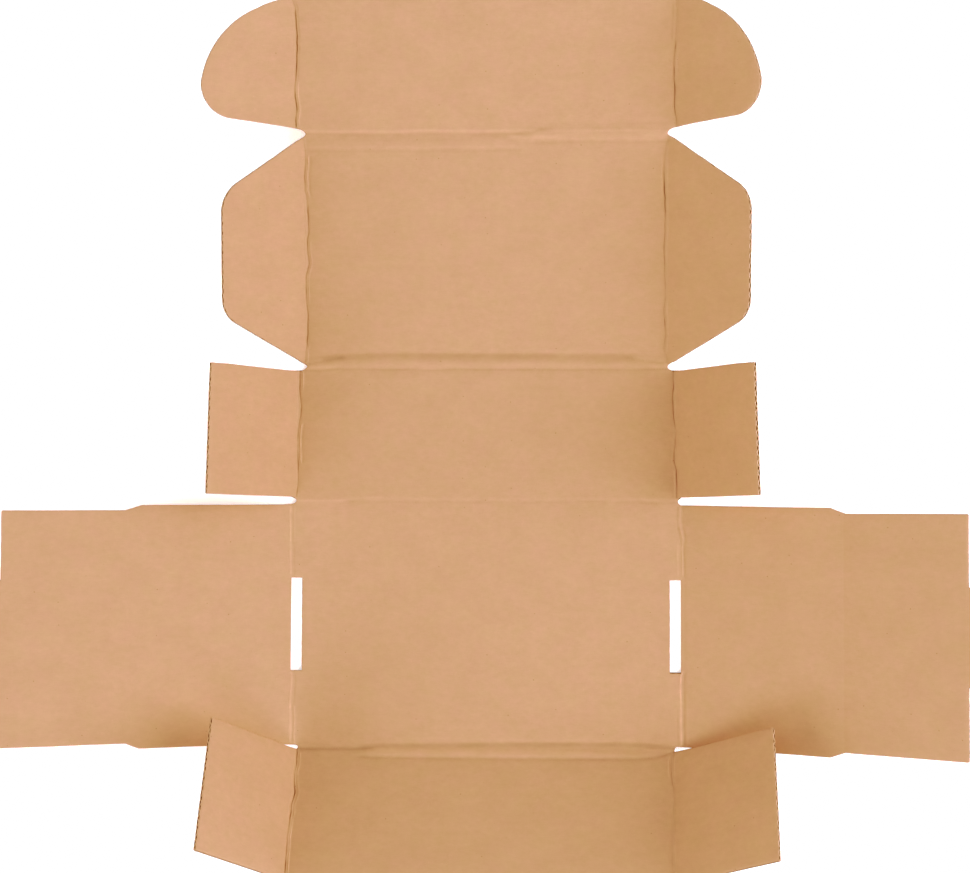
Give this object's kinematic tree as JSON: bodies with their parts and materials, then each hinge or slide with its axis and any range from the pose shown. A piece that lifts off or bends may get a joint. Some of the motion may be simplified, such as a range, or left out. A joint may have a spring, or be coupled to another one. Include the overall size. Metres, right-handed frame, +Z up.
{
  "type": "flattened cardboard box",
  "caption": "Unfolded die-cut mailer box blank of corrugated kraft board, inner face up, with worked creases and raised side panels and ears; it folds into a tuck-front box.",
  "frame": {"origin": "middle of the base panel, on its underside, which rests on the floor", "axes": "+Z up out of the inner face, +Y from the base over the back wall and the lid to the tuck flap, +X to the right-hand side panel seen from above with the tuck flap away from the viewer"},
  "size_m": [0.6404, 0.5918, 0.1035],
  "materials": {
    "kraft_board": "matte uncoated kraft liner"
  },
  "bodies": {
    "root": {"box_blank": "kraft_board"}
  },
  "joints": []
}
